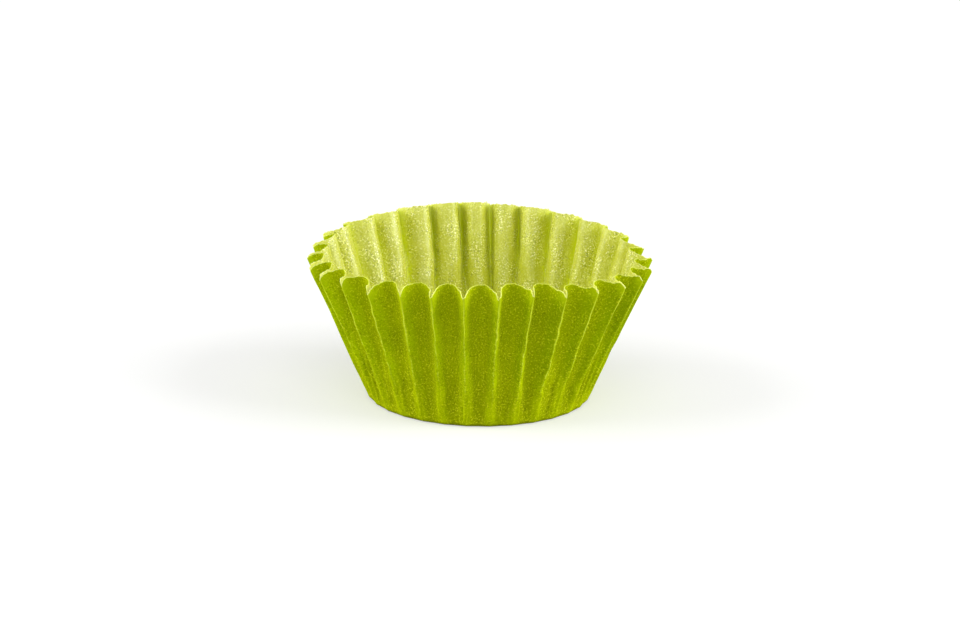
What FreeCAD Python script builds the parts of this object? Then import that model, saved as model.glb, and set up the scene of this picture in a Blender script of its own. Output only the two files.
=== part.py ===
import FreeCAD, Part
import math
import os
from collections import namedtuple

# Fluted paper candy cup: one round of thin paper, pressed into a flat floor and a pleated wall.
# Millimetres, +Z up, origin at the middle of the floor's underside.
#
# The paper is one piece, so every length up the wall and every length round it comes from the flat
# round it was cut as. A circle on that round, so far out from the floor's edge, becomes one pleated
# ring of the wall. It is too long for the flare, and the flutes take up the rest: their depth isn't
# set, it is what the paper needs.
#
# A paper cup never stands quite true. The waves below say how this one has settled: its mouth is out
# of round, its ridges lean to one side and the other, and its cut edge runs higher here and lower
# there.
#
# Each flute is made of long flat facets that run from ring to ring, as the creases in the paper do.

# A wave round the cup: how many crests it has in a full turn, how high they are, and how many
# degrees round one of them stands
Wave = namedtuple("Wave", "crests height at")

# Driving dimensions of the cup
FLUTES = 30
FLOOR_DIAMETER = 25.4
WALL_LENGTH = 18.0
RIM_DIAMETER = 39.8
PAPER_THICKNESS = 0.10

# The heel, where the wall turns up out of the floor, and how far its ridges stand outside the floor
HEEL_LENGTH = 1.2
HEEL_OVERHANG = 0.75
HEEL_HOLLOW_RADIUS = 1.10
HEEL_FOLD_RADIUS = 0.60

# The press line, where the punch stopped and the flutes above it stand free, and how far its ridges
# are drawn in from a straight line between the heel and the rim
PRESS_LENGTH = 8.4
PRESS_WAIST = 0.05
PRESS_HOLLOW_RADIUS = 1.20
PRESS_FOLD_RADIUS = 0.28

# The cut rim
RIM_HOLLOW_RADIUS = 1.50
RIM_FOLD_RADIUS = 0.16

# How far the rim stands out of round, as waves whose heights are shares of one length. They grow by
# this power of the share of the way up the wall.
OUT_OF_ROUND = 0.65
ROUND_WAVES = (Wave(1, 0.3, 175), Wave(2, 1.0, -33), Wave(3, 0.5, -33))
WAVE_GROWTH = 1.3

# How many degrees round the ridges lean by the time they reach the rim
LEAN_WAVES = (Wave(1, 1.05, 62), Wave(2, 2.45, 67), Wave(3, 0.75, 54), Wave(4, 0.87, -30))

# How much longer the wall is cut here than there, and how much further the hollows reach than that,
# again as shares of a length
CUT_RISE = 0.62
CUT_WAVES = (Wave(1, 0.53, -7), Wave(2, 1.0, -67))
LOBE_RISE = 0.29
LOBE_WAVES = (Wave(1, 0.86, -131), Wave(2, 1.0, 42))

# How far each hollow's deepest line lies off its middle at the rim
HOLLOW_OFFSET = 0.20

# How many flat facets turn half of each round hollow, and half of each fold along a ridge
HOLLOW_FACETS = 3
FOLD_FACETS = 2

HALF_PAPER = PAPER_THICKNESS / 2
PITCH = 2 * math.pi / FLUTES
FLOOR_RADIUS = FLOOR_DIAMETER / 2
HEEL_RADIUS = FLOOR_RADIUS + HEEL_OVERHANG
RIM_RADIUS = RIM_DIAMETER / 2 - HALF_PAPER
FLARE = (RIM_RADIUS - HEEL_RADIUS) / (WALL_LENGTH - HEEL_LENGTH)
PRESS_RADIUS = HEEL_RADIUS + FLARE * (PRESS_LENGTH - HEEL_LENGTH) - PRESS_WAIST
CORNERS = 2 * (FOLD_FACETS + 1 + HOLLOW_FACETS)
BISECTIONS = 50

# A corner of a flute's section: its distance across from the ridge, its depth inside the ridge, how
# far the paper is turned there, and the length of paper from the ridge
SectionCorner = namedtuple("SectionCorner", "across depth turn along")


def wave_sum(waves, angle):
    """The sum of WAVES at ANGLE."""
    return sum(wave.height * math.cos(wave.crests * (angle - math.radians(wave.at))) for wave in waves)


def ridge_angle(number, share):
    """Where ridge NUMBER stands round the cup, a SHARE of the way up the wall."""
    home = number * PITCH
    return home + math.radians(wave_sum(LEAN_WAVES, home)) * share


class Corner:
    """A corner where facets meet, in the middle of the paper."""

    def __init__(self, length, radius, angle, facing, sink=0):
        self.length = length
        self.radius = radius
        self.place = FreeCAD.Vector(math.cos(angle), math.sin(angle), 0) * radius
        self.outwards = FreeCAD.Vector(math.cos(facing), math.sin(facing), -sink)

    def stand_on(self, below):
        """Raises the corner to where its paper reaches from the corner BELOW."""
        paper = self.length - below.length
        lean_out = self.radius - below.radius
        self.place.z = below.place.z + math.sqrt(paper**2 - lean_out**2)

    def on_skin(self, out):
        """The corner's point on the skin that lies OUT from the middle of the paper."""
        return self.place + self.outwards * out


class Ring:
    """One pleated ring of the wall, a fixed length of paper up from the floor's edge."""

    def __init__(self, length, ridge_radius, hollow_radius, fold_radius):
        self.length = length
        self.ridge_radius = ridge_radius
        self.hollow_radius = hollow_radius
        self.fold_radius = fold_radius
        self.share = length / WALL_LENGTH
        self.flutes = [Flute(self, number) for number in range(FLUTES)]

    def ridge_reach(self, angle):
        """How far out the ridges stand at ANGLE."""
        out_of_round = OUT_OF_ROUND * wave_sum(ROUND_WAVES, angle)
        return self.ridge_radius + out_of_round * self.share**WAVE_GROWTH

    def corners(self):
        """All corners of the ring, in order."""
        return [corner for flute in self.flutes for corner in flute.corners()]

    def floor_corners(self):
        """Where the ring's paper comes down to the floor's edge."""
        return [corner for flute in self.flutes for corner in flute.floor_corners()]


class Rim(Ring):
    """The cut edge, which runs higher here and lower there, and most so in the hollows."""

    def corners(self):
        """All corners of the rim, in order, each as high up the paper as the paper was cut."""
        return [corner for flute in self.flutes for corner in flute.corners(cut=True)]


class Flute:
    """One flute of a ring, from its first ridge to the next.

    In plan each half of it is the fold's arc at the ridge, a straight flank and the hollow's arc.
    Both arcs turn the paper by the same angle, the least at which it spans from ridge to ridge.
    """

    def __init__(self, ring, number):
        self.ring = ring
        self.number = number
        first = ridge_angle(number, ring.share)
        second = ridge_angle(number + 1, ring.share)
        self.middle = (first + second) / 2
        self.half_angle = (second - first) / 2
        self.paper = (FLOOR_RADIUS + ring.length) * PITCH / 2
        self.chord = ring.ridge_reach(self.middle) * self.half_angle
        self.arcs = ring.fold_radius + ring.hollow_radius
        self.turn = self.find_turn()

    def flank(self, turn):
        """Length of the straight flank where the arcs turn by TURN."""
        return self.paper - self.arcs * turn

    def find_turn(self):
        """The turn of the arcs at which half the flute spans half the way between its ridges."""
        low = 0.0
        high = min(math.pi / 2, self.paper / self.arcs)
        for _ in range(BISECTIONS):
            middle = (low + high) / 2
            if self.arcs * math.sin(middle) + self.flank(middle) * math.cos(middle) > self.chord:
                low = middle
            else:
                high = middle
        return low

    def section(self):
        """Corners of the section from a ridge to the middle of the hollow."""
        fold, hollow = self.ring.fold_radius, self.ring.hollow_radius
        corners = []
        for step in range(FOLD_FACETS + 1):
            turn = self.turn * step / FOLD_FACETS
            depth = fold * (1 - math.cos(turn))
            corners.append(SectionCorner(fold * math.sin(turn), depth, turn, fold * turn))
        flank = self.flank(self.turn)
        end = corners[-1]
        across = end.across + flank * math.cos(self.turn) + hollow * math.sin(self.turn)
        depth = end.depth + flank * math.sin(self.turn) - hollow * math.cos(self.turn)
        for step in range(HOLLOW_FACETS + 1):
            turn = self.turn * (1 - step / HOLLOW_FACETS)
            right = across - hollow * math.sin(turn)
            deep = depth + hollow * math.cos(turn)
            corners.append(SectionCorner(right, deep, turn, self.paper - hollow * turn))
        return corners

    def both_sides(self):
        """Corners of both halves up to, and without, the second ridge, each with its side."""
        half = self.section()
        return [(-1, corner) for corner in half] + [(1, corner) for corner in half[-2:0:-1]]

    def corners(self, cut=False):
        """The flute's corners. Where it is CUT, they lie where the cut edge does."""
        width = self.section()[-1].across
        skew = HOLLOW_OFFSET * self.ring.share / self.chord
        corners = []
        for side, corner in self.both_sides():
            off_middle = side * (1 - corner.across / width)
            angle = self.middle + self.half_angle * (off_middle - skew * (1 - off_middle**2))
            extra = 0.0
            if cut:
                lobe = LOBE_RISE * wave_sum(LOBE_WAVES, self.middle)
                extra = CUT_RISE * wave_sum(CUT_WAVES, angle) + lobe * math.sqrt(1 - off_middle**2)
            radius = self.ring.ridge_reach(angle) + FLARE * extra - corner.depth
            corners.append(Corner(self.ring.length + extra, radius, angle, angle - side * corner.turn))
        return corners

    def floor_corners(self):
        """Corners of the floor's edge where the flute's paper comes down to it."""
        corners = []
        for side, corner in self.both_sides():
            off_middle = side * (1 - corner.along / self.paper)
            angle = (self.number + 0.5 + off_middle / 2) * PITCH
            corners.append(Corner(0.0, FLOOR_RADIUS, angle, angle, sink=1))
        return corners


def flat(points):
    """A flat face inside POINTS."""
    return Part.Face(Part.makePolygon(points + points[:1]))


def strip(lower, upper):
    """Facets between two closed rows of corners, creased from below up to the nearest ridge."""
    facets = []
    for number in range(len(lower)):
        after = (number + 1) % len(lower)
        a, b, c, d = lower[number], lower[after], upper[after], upper[number]
        if number % CORNERS < CORNERS // 2:
            facets += [flat([a, b, d]), flat([b, c, d])]
        else:
            facets += [flat([a, b, c]), flat([a, c, d])]
    return facets


def rows_of_corners():
    """The floor's edge and the rings above it, each corner standing on the one below."""
    heel = Ring(HEEL_LENGTH, HEEL_RADIUS, HEEL_HOLLOW_RADIUS, HEEL_FOLD_RADIUS)
    press = Ring(PRESS_LENGTH, PRESS_RADIUS, PRESS_HOLLOW_RADIUS, PRESS_FOLD_RADIUS)
    rim = Rim(WALL_LENGTH, RIM_RADIUS, RIM_HOLLOW_RADIUS, RIM_FOLD_RADIUS)
    rows = [heel.floor_corners(), heel.corners(), press.corners(), rim.corners()]
    for corner in rows[0]:
        corner.place.z = HALF_PAPER
    for lower, upper in zip(rows, rows[1:]):
        for below, corner in zip(lower, upper):
            corner.stand_on(below)
    return rows


def cup():
    """The whole cup as one solid: an outer and an inner skin that meet along the cut rim."""
    rows = rows_of_corners()
    outside = [[corner.on_skin(HALF_PAPER) for corner in row] for row in rows]
    inside = [[corner.on_skin(-HALF_PAPER) for corner in row] for row in rows]
    faces = strip(outside[-1], inside[-1])
    for skin in (outside, inside):
        faces.append(flat(skin[0]))
        for lower, upper in zip(skin, skin[1:]):
            faces += strip(lower, upper)
    sewn = Part.makeCompound(faces)
    sewn.sewShape()
    solid = Part.Solid(Part.Shell(sewn.Faces))
    if solid.Volume < 0:
        solid.reverse()
    return solid


os.makedirs("parts", exist_ok=True)
cup().exportStep("parts/fluted_cup.step")
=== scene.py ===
import logging
import math
from dataclasses import dataclass, field
from enum import Enum

import bpy
import numpy as np
from mathutils import Matrix, Vector


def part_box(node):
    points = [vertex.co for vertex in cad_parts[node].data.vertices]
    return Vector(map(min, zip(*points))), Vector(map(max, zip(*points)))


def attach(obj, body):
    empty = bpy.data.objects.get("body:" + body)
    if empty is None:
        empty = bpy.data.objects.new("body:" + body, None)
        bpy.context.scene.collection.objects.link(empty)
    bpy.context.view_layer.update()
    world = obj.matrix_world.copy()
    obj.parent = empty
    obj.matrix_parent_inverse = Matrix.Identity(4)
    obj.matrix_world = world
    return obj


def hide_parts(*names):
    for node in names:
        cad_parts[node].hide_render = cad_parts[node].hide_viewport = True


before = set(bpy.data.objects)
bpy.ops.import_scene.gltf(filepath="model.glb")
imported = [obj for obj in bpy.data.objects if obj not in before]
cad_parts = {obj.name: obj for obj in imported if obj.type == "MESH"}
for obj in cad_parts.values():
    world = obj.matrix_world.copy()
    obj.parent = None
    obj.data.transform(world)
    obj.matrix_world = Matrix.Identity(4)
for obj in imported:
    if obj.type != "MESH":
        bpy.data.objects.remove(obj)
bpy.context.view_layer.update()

# A pleated paper candy cup: one round of thin green paper, pressed into a flat floor and a fluted wall.
# The paper's own lengths are kept: a circle on the flat round, so far out from the floor's edge, is
# the same length when it stands as one ring of the wall, and the flutes take up what is too long.
# Shapes are worked out in millimetres and put into the mesh in metres.

CUP_NODE = "fluted_cup"
CUP_PIECE = "pleated_cup"
MILLIMETRE = 0.001
TURN = 2 * math.pi

# How far the middle of the paper stays inside the CAD model's box where the ridges meet the cut
# edge, on average round the cup: half the paper's thickness and part of the rim's waves lie outside
RIM_INSET = 0.22

Colour = tuple[float, float, float, float]
Span = tuple[float, float]

log = logging.getLogger("candy_cup")


# ---------------------------------------------------------------------------------------------
# Small tools
# ---------------------------------------------------------------------------------------------


def smooth_step(value: np.ndarray, low: float, high: float) -> np.ndarray:
    """A soft rise from 0 at low to 1 at high.

    Args:
        value: The numbers to look up.
        low: Where the rise starts.
        high: Where it ends.

    Returns:
        Three times the square less twice the cube of the share of the way, between 0 and 1.
    """
    share = np.clip((value - low) / (high - low), 0.0, 1.0)
    return share * share * (3.0 - 2.0 * share)


def paint(red: int, green: int, blue: int) -> Colour:
    """Turns a display colour into the linear colour that shaders take, by the sRGB curve.

    Args:
        red: Red, 0 to 255.
        green: Green, 0 to 255.
        blue: Blue, 0 to 255.

    Returns:
        Linear red, green, blue and an alpha of 1.
    """
    shares = np.array([red, green, blue]) / 255.0
    linear = np.where(shares <= 0.04045, shares / 12.92, ((shares + 0.055) / 1.055) ** 2.4)
    return (float(linear[0]), float(linear[1]), float(linear[2]), 1.0)


@dataclass(frozen=True)
class Wave:
    """A smooth wave round the cup: amount times the cosine of count times the angle from its crest.

    Attributes:
        count: How many crests there are in a full turn.
        amount: The height of a crest.
        crest: The angle of one crest, in degrees.
    """

    count: int
    amount: float
    crest: float

    def at(self, angle: np.ndarray) -> np.ndarray:
        """The wave's value at angles in radians."""
        return self.amount * np.cos(self.count * (angle - math.radians(self.crest)))


def total(waves: tuple[Wave, ...], angle: np.ndarray) -> np.ndarray:
    """The sum of waves at angles in radians."""
    return sum(wave.at(angle) for wave in waves)


@dataclass(frozen=True)
class Swell:
    """A soft swelling of the cut edge at one place across each lobe.

    Attributes:
        place: Where it lies: -1 at the lobe's first ridge, 0 in its middle, 1 at its second ridge.
        width: How wide it is, on the same scale.
        height: How high it is, in millimetres.
        uneven: How much its height differs from lobe to lobe, as one standard deviation.
    """

    place: float
    width: float
    height: float
    uneven: float

    def at(self, across: np.ndarray, chance: np.ndarray) -> np.ndarray:
        """The swelling's height across the lobes, where chance is each lobe's random number."""
        return (self.height + self.uneven * chance) * np.exp(-(((across - self.place) / self.width) ** 2))


@dataclass(frozen=True)
class Crumple:
    """Low, uneven ripples all over a sheet, as the sum of sine waves of random length and direction.

    Attributes:
        seed: The seed of the random numbers.
        waves: How many sine waves are added up.
        round_count: The most crests that a wave has in a full turn.
        up_count: The most crests that a wave has for each millimetre up the wall, times 2 pi.
        amount: The height of the sum, as one standard deviation.
    """

    seed: int
    waves: int
    round_count: int
    up_count: float
    amount: float

    def at(self, angle: np.ndarray, climb: np.ndarray) -> np.ndarray:
        """The ripple's height over a grid.

        Args:
            angle: The angle of each column round the cup, in radians.
            climb: How far up the wall each point lies, in millimetres.

        Returns:
            The height at each point, in the unit of amount.
        """
        rng = np.random.default_rng(self.seed)
        around = rng.integers(1, self.round_count + 1, self.waves)[:, None, None]
        up = rng.uniform(-self.up_count, self.up_count, self.waves)[:, None, None]
        start = rng.uniform(0.0, TURN, self.waves)[:, None, None]
        ripples = np.sin(around * angle[None] + up * climb[None] + start)
        return self.amount * math.sqrt(2.0 / self.waves) * ripples.sum(axis=0)


# ---------------------------------------------------------------------------------------------
# The flat round of paper
# ---------------------------------------------------------------------------------------------


@dataclass
class PaperRound:
    """The flat round that the cup is pressed from, and the grid of points marked on it.

    Attributes:
        floor_radius: The radius of the part that becomes the floor.
        wall_length: How much paper there is from the floor's edge to the cut edge.
        thickness: The thickness of the paper.
        flutes: How many flutes the wall has.
        half_columns: How many columns lie between a ridge and the middle of a hollow.
        column_growth: How much wider each column is than the one nearer the ridge.
        heel_rows: Where the rows of the heel lie, in millimetres up from the floor's edge.
        wall_rows: How many rows the rest of the wall has.
    """

    floor_radius: float = 12.7
    wall_length: float = 18.06
    thickness: float = 0.10
    flutes: int = 30
    half_columns: int = 18
    column_growth: float = 1.1
    heel_rows: tuple[float, ...] = (-1.6, -0.8, -0.35, -0.15, 0.0, 0.15, 0.3, 0.5, 0.8, 1.2)
    wall_rows: int = 28

    @property
    def columns(self) -> int:
        """How many columns there are in a full turn."""
        return 2 * self.half_columns * self.flutes

    def column_places(self) -> tuple[np.ndarray, np.ndarray, np.ndarray]:
        """Where each column lies in its flute.

        Columns stand closer together near a ridge: each is column_growth times as wide as the last.

        Returns:
            The flute's number, the share of the way from the nearest ridge to the middle of the
            hollow, and the side, which is 0 from the flute's first ridge and 1 from its second.
        """
        column = np.arange(self.columns)
        flute, place = np.divmod(column, 2 * self.half_columns)
        side = (place > self.half_columns).astype(int)
        steps = np.where(side == 1, 2 * self.half_columns - place, place)
        growth = self.column_growth
        share = (growth**steps - 1.0) / (growth**self.half_columns - 1.0)
        return flute, share, side

    def row_places(self) -> np.ndarray:
        """Where each row lies: the heel's own rows, and even steps from there to the rim.

        Returns:
            How far up the wall each row lies, in millimetres from the floor's edge.
        """
        start = self.heel_rows[-1]
        rest = start + (self.wall_length - start) * np.arange(1, self.wall_rows + 1) / self.wall_rows
        return np.concatenate([np.array(self.heel_rows), rest])


# ---------------------------------------------------------------------------------------------
# The pleated sheet
# ---------------------------------------------------------------------------------------------


@dataclass
class Pleat:
    """The section of the flutes: a round hollow, two straight flanks and a tight fold at each ridge.

    Attributes:
        heel_hollow: The radius of the hollow's bend at the heel.
        rim_hollow: The radius of the hollow's bend at the rim.
        heel_fold: The radius of the ridge's fold at the heel.
        rim_fold: The radius of the ridge's fold at the rim.
        fold_done: The share of the way up the wall at which the fold is as tight as at the rim.
        steepest: The most that the paper may turn between a ridge and the flank, in radians.
        bisections: How often the search for that turn halves its range.
    """

    heel_hollow: float = 1.15
    rim_hollow: float = 1.50
    heel_fold: float = 0.60
    rim_fold: float = 0.15
    fold_done: float = 0.6
    steepest: float = 1.5
    bisections: int = 40

    def bends(self, climb_share: np.ndarray, uneven: np.ndarray) -> tuple[np.ndarray, np.ndarray]:
        """The bend radii up the wall.

        Args:
            climb_share: The share of the way up the wall, 0 to 1.
            uneven: A factor on the hollow's bend that differs from flute to flute.

        Returns:
            The radius of the hollow's bend and the radius of the ridge's fold.
        """
        hollow = (self.heel_hollow + (self.rim_hollow - self.heel_hollow) * climb_share) * uneven
        tightened = smooth_step(climb_share, 0.0, self.fold_done)
        fold = self.heel_fold + (self.rim_fold - self.heel_fold) * tightened
        return hollow, fold

    def half_turn(self, paper: np.ndarray, chord: np.ndarray, bend: np.ndarray) -> np.ndarray:
        """How far the paper turns between a ridge and the flank.

        The half pleat spans bend times the sine of the turn, plus the flank's length times its
        cosine, where the flank is the paper that the two bends leave. Bisection finds the turn
        for which that is the half chord.

        Args:
            paper: The length of paper in half a pleat.
            chord: The width that half a pleat has to span.
            bend: The hollow's radius and the fold's radius together.

        Returns:
            The turn in radians, 0 where the paper isn't too long.
        """
        low = np.zeros_like(paper)
        high = np.minimum(self.steepest, paper / bend)
        for _ in range(self.bisections):
            turn = (low + high) / 2
            wide = bend * np.sin(turn) + (paper - bend * turn) * np.cos(turn) > chord
            low = np.where(wide, turn, low)
            high = np.where(wide, high, turn)
        return low

    def section(
        self, along: np.ndarray, paper: np.ndarray, chord: np.ndarray, hollow: np.ndarray, fold: np.ndarray
    ) -> tuple[np.ndarray, np.ndarray]:
        """A point of the section, from how far along the paper it lies.

        From the ridge the paper runs round the fold's arc, straight down the flank and round the
        hollow's arc. Each stretch gives its own sum of sines and cosines of the turn.

        Args:
            along: The length of paper from the ridge to the point.
            paper: The length of paper from the ridge to the middle of the hollow.
            chord: The width that this paper has to span.
            hollow: The radius of the hollow's bend.
            fold: The radius of the ridge's fold.

        Returns:
            How far across from the ridge the point lies, as a share of the chord, and how deep.
        """
        turn = self.half_turn(paper, chord, hollow + fold)
        sine, cosine = np.sin(turn), np.cos(turn)
        fold_end = fold * turn
        flank_end = paper - hollow * turn
        in_fold = np.minimum(along, fold_end) / fold
        on_flank = np.clip(along - fold_end, 0.0, np.maximum(flank_end - fold_end, 0.0))
        to_middle = np.minimum(paper - along, hollow * turn) / hollow
        across = fold * np.sin(in_fold) + on_flank * cosine + hollow * (sine - np.sin(to_middle))
        depth = fold * (1 - np.cos(in_fold)) + on_flank * sine + hollow * (np.cos(to_middle) - cosine)
        reach = (fold + hollow) * sine + np.maximum(flank_end - fold_end, 0.0) * cosine
        return across / reach, depth


@dataclass(frozen=True)
class Unevenness:
    """How much one flute differs from the next, each as one standard deviation.

    Attributes:
        place: Where a ridge starts on the floor's edge, in degrees.
        lean: How much further round it stands at the rim, in degrees.
        step: How far it steps sideways at a kink, in degrees.
        step_height: How far up or down its kinks lie, in millimetres.
        wiggle: How far it wanders to either side between them, in degrees.
        push: How far out it stands at the rim, in millimetres.
        bend: The hollow's bend radius, as a share.
        depth: The flute's depth, as a share.
        skew: How far the hollow's deepest line lies off its middle, as a share of its half width.
        cut: The wall's length, in millimetres.
        jag: The roughness of the cut edge, in millimetres.
    """

    place: float = 0.15
    lean: float = 0.30
    step: float = 0.50
    step_height: float = 0.9
    wiggle: float = 0.10
    push: float = 0.06
    bend: float = 0.07
    depth: float = 0.05
    skew: float = 0.05
    cut: float = 0.08
    jag: float = 0.04


@dataclass
class PleatedSheet:
    """The middle surface of the paper once it has been pressed, as a grid of points.

    Attributes:
        paper: The flat round.
        pleat: The section of the flutes.
        rim_radius: How far the ridges stand out at the cut edge.
        heel_start: Where the wall starts to turn up, in millimetres up from the floor's edge.
        heel_end: Where the turn ends.
        pressed_depth: The share of their full depth that the flutes have low down, where the
            punch has flattened them.
        pressed: Where the flattening starts to fade, and how far up the wall the punch reached.
        rim_waves: How the rim is out of round.
        wave_growth: The power of the share of the way up the wall by which those waves grow.
        turn_waves: How the ridges lean round the cup on their way up, in degrees at the rim.
        cut_waves: How the wall's length varies round the cup.
        lobe_waves: How much further the wall reaches in the middle of a hollow than at a ridge.
        cut_growth: The power of the share of the way up by which the wall's length is made up.
        skew: How far the hollows' deepest lines lie off their middles, as a share of half a width.
        swells: Where the cut edge swells and dips across each lobe.
        swell_waves: The share of their height that the swells have, which differs round the cup.
        notch_power: The higher, the narrower the notches in which the swells die out at the ridges.
        kinks: How far up the wall the ridges kink, in millimetres.
        kink_reach: How far below and above its height a kink steps sideways, in millimetres.
        kink_fade: How far above its height a ridge is back on its way, in millimetres.
        wander_lengths: The lengths of the waves in which the ridges wander, in millimetres.
        wander_rise: Where on the wall the wandering starts and is whole, in millimetres.
        wander_fall: Where it starts to fade and has gone, in millimetres.
        ripples: The loose ripples of the whole wall.
        ripple_rise: Where on the wall they start and are whole, in millimetres.
        pressed_ripple: The upright ripples low down, where the punch crushed the paper.
        pressed_ripple_rise: Where on the wall these start and are whole, in millimetres.
        pressed_ripple_fall: Where they start to fade and have gone, in millimetres.
        uneven: How much one flute differs from the next.
        seed: The seed of what differs from flute to flute.
        points: Each grid point's place, in millimetres.
        climb: How far up the wall it lies, along the paper.
        flat_angle: The angle of each column on the flat round.
        from_ridge: How far each grid point lies from the nearest ridge, along the paper.
        across: The place of each column across its flute, from -1 to 1.
    """

    paper: PaperRound
    pleat: Pleat
    rim_radius: float
    heel_start: float = -0.2
    heel_end: float = 0.4
    pressed_depth: float = 0.85
    pressed: Span = (2.0, 8.4)
    rim_waves: tuple[Wave, ...] = (Wave(1, 0.20, 175.0), Wave(2, 0.65, -33.0), Wave(3, 0.33, -33.0))
    wave_growth: float = 1.3
    turn_waves: tuple[Wave, ...] = (
        Wave(1, 1.05, 62.0),
        Wave(2, 2.45, 67.0),
        Wave(3, 0.75, 54.0),
        Wave(4, 0.87, -30.0),
    )
    cut_waves: tuple[Wave, ...] = (Wave(1, 0.33, -7.0), Wave(2, 0.62, -67.0))
    lobe_waves: tuple[Wave, ...] = (Wave(0, 0.05, 0.0), Wave(1, 0.25, -131.0), Wave(2, 0.29, 42.0))
    cut_growth: int = 3
    skew: float = 0.10
    swells: tuple[Swell, ...] = (
        Swell(-0.76, 0.24, 0.28, 0.08),
        Swell(0.42, 0.16, -0.18, 0.08),
        Swell(0.84, 0.14, 0.48, 0.10),
    )
    swell_waves: tuple[Wave, ...] = (Wave(0, 0.52, 0.0), Wave(1, 0.48, -90.0))
    notch_power: int = 16
    kinks: tuple[float, ...] = (4.3, 8.4)
    kink_reach: float = 0.2
    kink_fade: float = 4.0
    wander_lengths: tuple[float, ...] = (1.5, 2.3, 3.9)
    wander_rise: Span = (0.5, 3.0)
    wander_fall: Span = (15.0, 17.5)
    ripples: tuple[Crumple, ...] = (
        Crumple(seed=3, waves=30, round_count=60, up_count=0.9, amount=0.035),
        Crumple(seed=5, waves=50, round_count=240, up_count=2.6, amount=0.014),
    )
    ripple_rise: Span = (0.2, 2.5)
    pressed_ripple: Crumple = Crumple(seed=8, waves=40, round_count=170, up_count=0.5, amount=0.05)
    pressed_ripple_rise: Span = (0.3, 2.0)
    pressed_ripple_fall: Span = (5.0, 9.0)
    uneven: Unevenness = Unevenness()
    seed: int = 98
    points: np.ndarray = field(init=False)
    climb: np.ndarray = field(init=False)
    flat_angle: np.ndarray = field(init=False)
    from_ridge: np.ndarray = field(init=False)
    across: np.ndarray = field(init=False)

    def ridge_radius(self, climb: np.ndarray) -> np.ndarray:
        """How far out the ridges stand up the wall of a round cup.

        Its slope is 1 on the floor, falls softly through the heel, and is then the one constant
        slope that reaches the rim.

        Args:
            climb: How far up the wall, in millimetres from the floor's edge.

        Returns:
            The radius in millimetres.
        """
        heel = self.heel_end - self.heel_start
        wall = self.paper.wall_length - self.heel_end
        gained = self.rim_radius - self.paper.floor_radius - self.heel_start
        slope = (gained - heel / 2) / (wall + heel / 2)
        share = np.clip((climb - self.heel_start) / heel, 0.0, 1.0)
        turned = heel * (share - (1 - slope) * (share**3 - share**4 / 2))
        level = np.minimum(climb, self.heel_start)
        above = np.maximum(climb - self.heel_end, 0.0) * slope
        return self.paper.floor_radius + level + turned + above

    def ring_radius(self, climb: np.ndarray, angle: np.ndarray) -> np.ndarray:
        """How far out the ridges stand on the cup as it is, which is a little out of round.

        Args:
            climb: How far up the wall, in millimetres from the floor's edge.
            angle: Where round the cup, in radians.

        Returns:
            The round cup's radius and the rim's waves, which grow up the wall, in millimetres.
        """
        share = np.clip(climb / self.paper.wall_length, 0.0, 1.0)
        return self.ridge_radius(climb) + total(self.rim_waves, angle) * share**self.wave_growth

    def ridge_turns(self, climb: np.ndarray, ridges: np.ndarray, rng: np.random.Generator) -> np.ndarray:
        """The angle of the ridges at every row.

        A ridge starts at its place on the floor's edge, leans evenly with the waves and its own
        random share, steps sideways at each kink and wanders a little all the way.

        Args:
            climb: How far up the wall each grid point lies.
            ridges: The numbers of the ridges that each grid column lies between.
            rng: The random numbers.

        Returns:
            The angles in radians at each grid point.
        """
        count = self.paper.flutes
        home = TURN * np.arange(count) / count + np.radians(rng.normal(0.0, self.uneven.place, count))
        lean = np.radians(total(self.turn_waves, home) + rng.normal(0.0, self.uneven.lean, count))
        share = climb / self.paper.wall_length
        angle = home[ridges] + lean[ridges] * np.clip(share, 0.0, None)
        for kink in self.kinks:
            height = kink + rng.normal(0.0, self.uneven.step_height, count)
            step = np.radians(rng.normal(0.0, self.uneven.step, count))
            above = climb - height[ridges]
            rise = smooth_step(above, -self.kink_reach, self.kink_reach)
            fade = 1.0 - smooth_step(above, self.kink_reach, self.kink_fade)
            angle = angle + step[ridges] * rise * fade
        free = smooth_step(climb, *self.wander_rise) * (1.0 - smooth_step(climb, *self.wander_fall))
        return angle + np.radians(self.wander(climb, ridges)) * free

    def wander(self, climb: np.ndarray, ridges: np.ndarray) -> np.ndarray:
        """How far the ridges wander off their way, as a sum of waves that differs from ridge to ridge.

        Args:
            climb: How far up the wall each grid point lies.
            ridges: The numbers of the ridges that each grid column lies between.

        Returns:
            The degrees at each grid point.
        """
        rng = np.random.default_rng(self.seed + 1)
        shape = (len(self.wander_lengths), self.paper.flutes)
        start = rng.uniform(0.0, TURN, shape)
        height = rng.normal(0.0, self.uneven.wiggle, shape)
        waves = (
            height[number][ridges] * np.sin(TURN * climb / length + start[number][ridges])
            for number, length in enumerate(self.wander_lengths)
        )
        return sum(waves)

    def cut_lengths(self, flute: np.ndarray, rng: np.random.Generator) -> np.ndarray:
        """How much further than the plain wall's length each column of paper reaches.

        The waves round the cup and each flute's own share raise a whole lobe. The swells and the
        round of the lobe rise between its ridges and are nothing at them. The jag differs from
        column to column.

        Args:
            flute: The number of the flute that each column lies in.
            rng: The random numbers.

        Returns:
            The length of each column past wall_length, in millimetres.
        """
        paper, uneven = self.paper, self.uneven
        middle_turn = TURN * (flute + 0.5) / paper.flutes
        lobe = total(self.lobe_waves, middle_turn)
        cut = total(self.cut_waves, middle_turn) + rng.normal(0.0, uneven.cut, paper.flutes)[flute]
        swollen = sum(
            swell.at(self.across, rng.normal(0.0, 1.0, paper.flutes)[flute]) for swell in self.swells
        )
        swollen = swollen * total(self.swell_waves, middle_turn)
        cut = cut + swollen * (1.0 - self.across**self.notch_power)
        cut = cut + lobe * np.sqrt(1.0 - self.across**2)
        return cut + rng.normal(0.0, uneven.jag, paper.columns)

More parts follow.
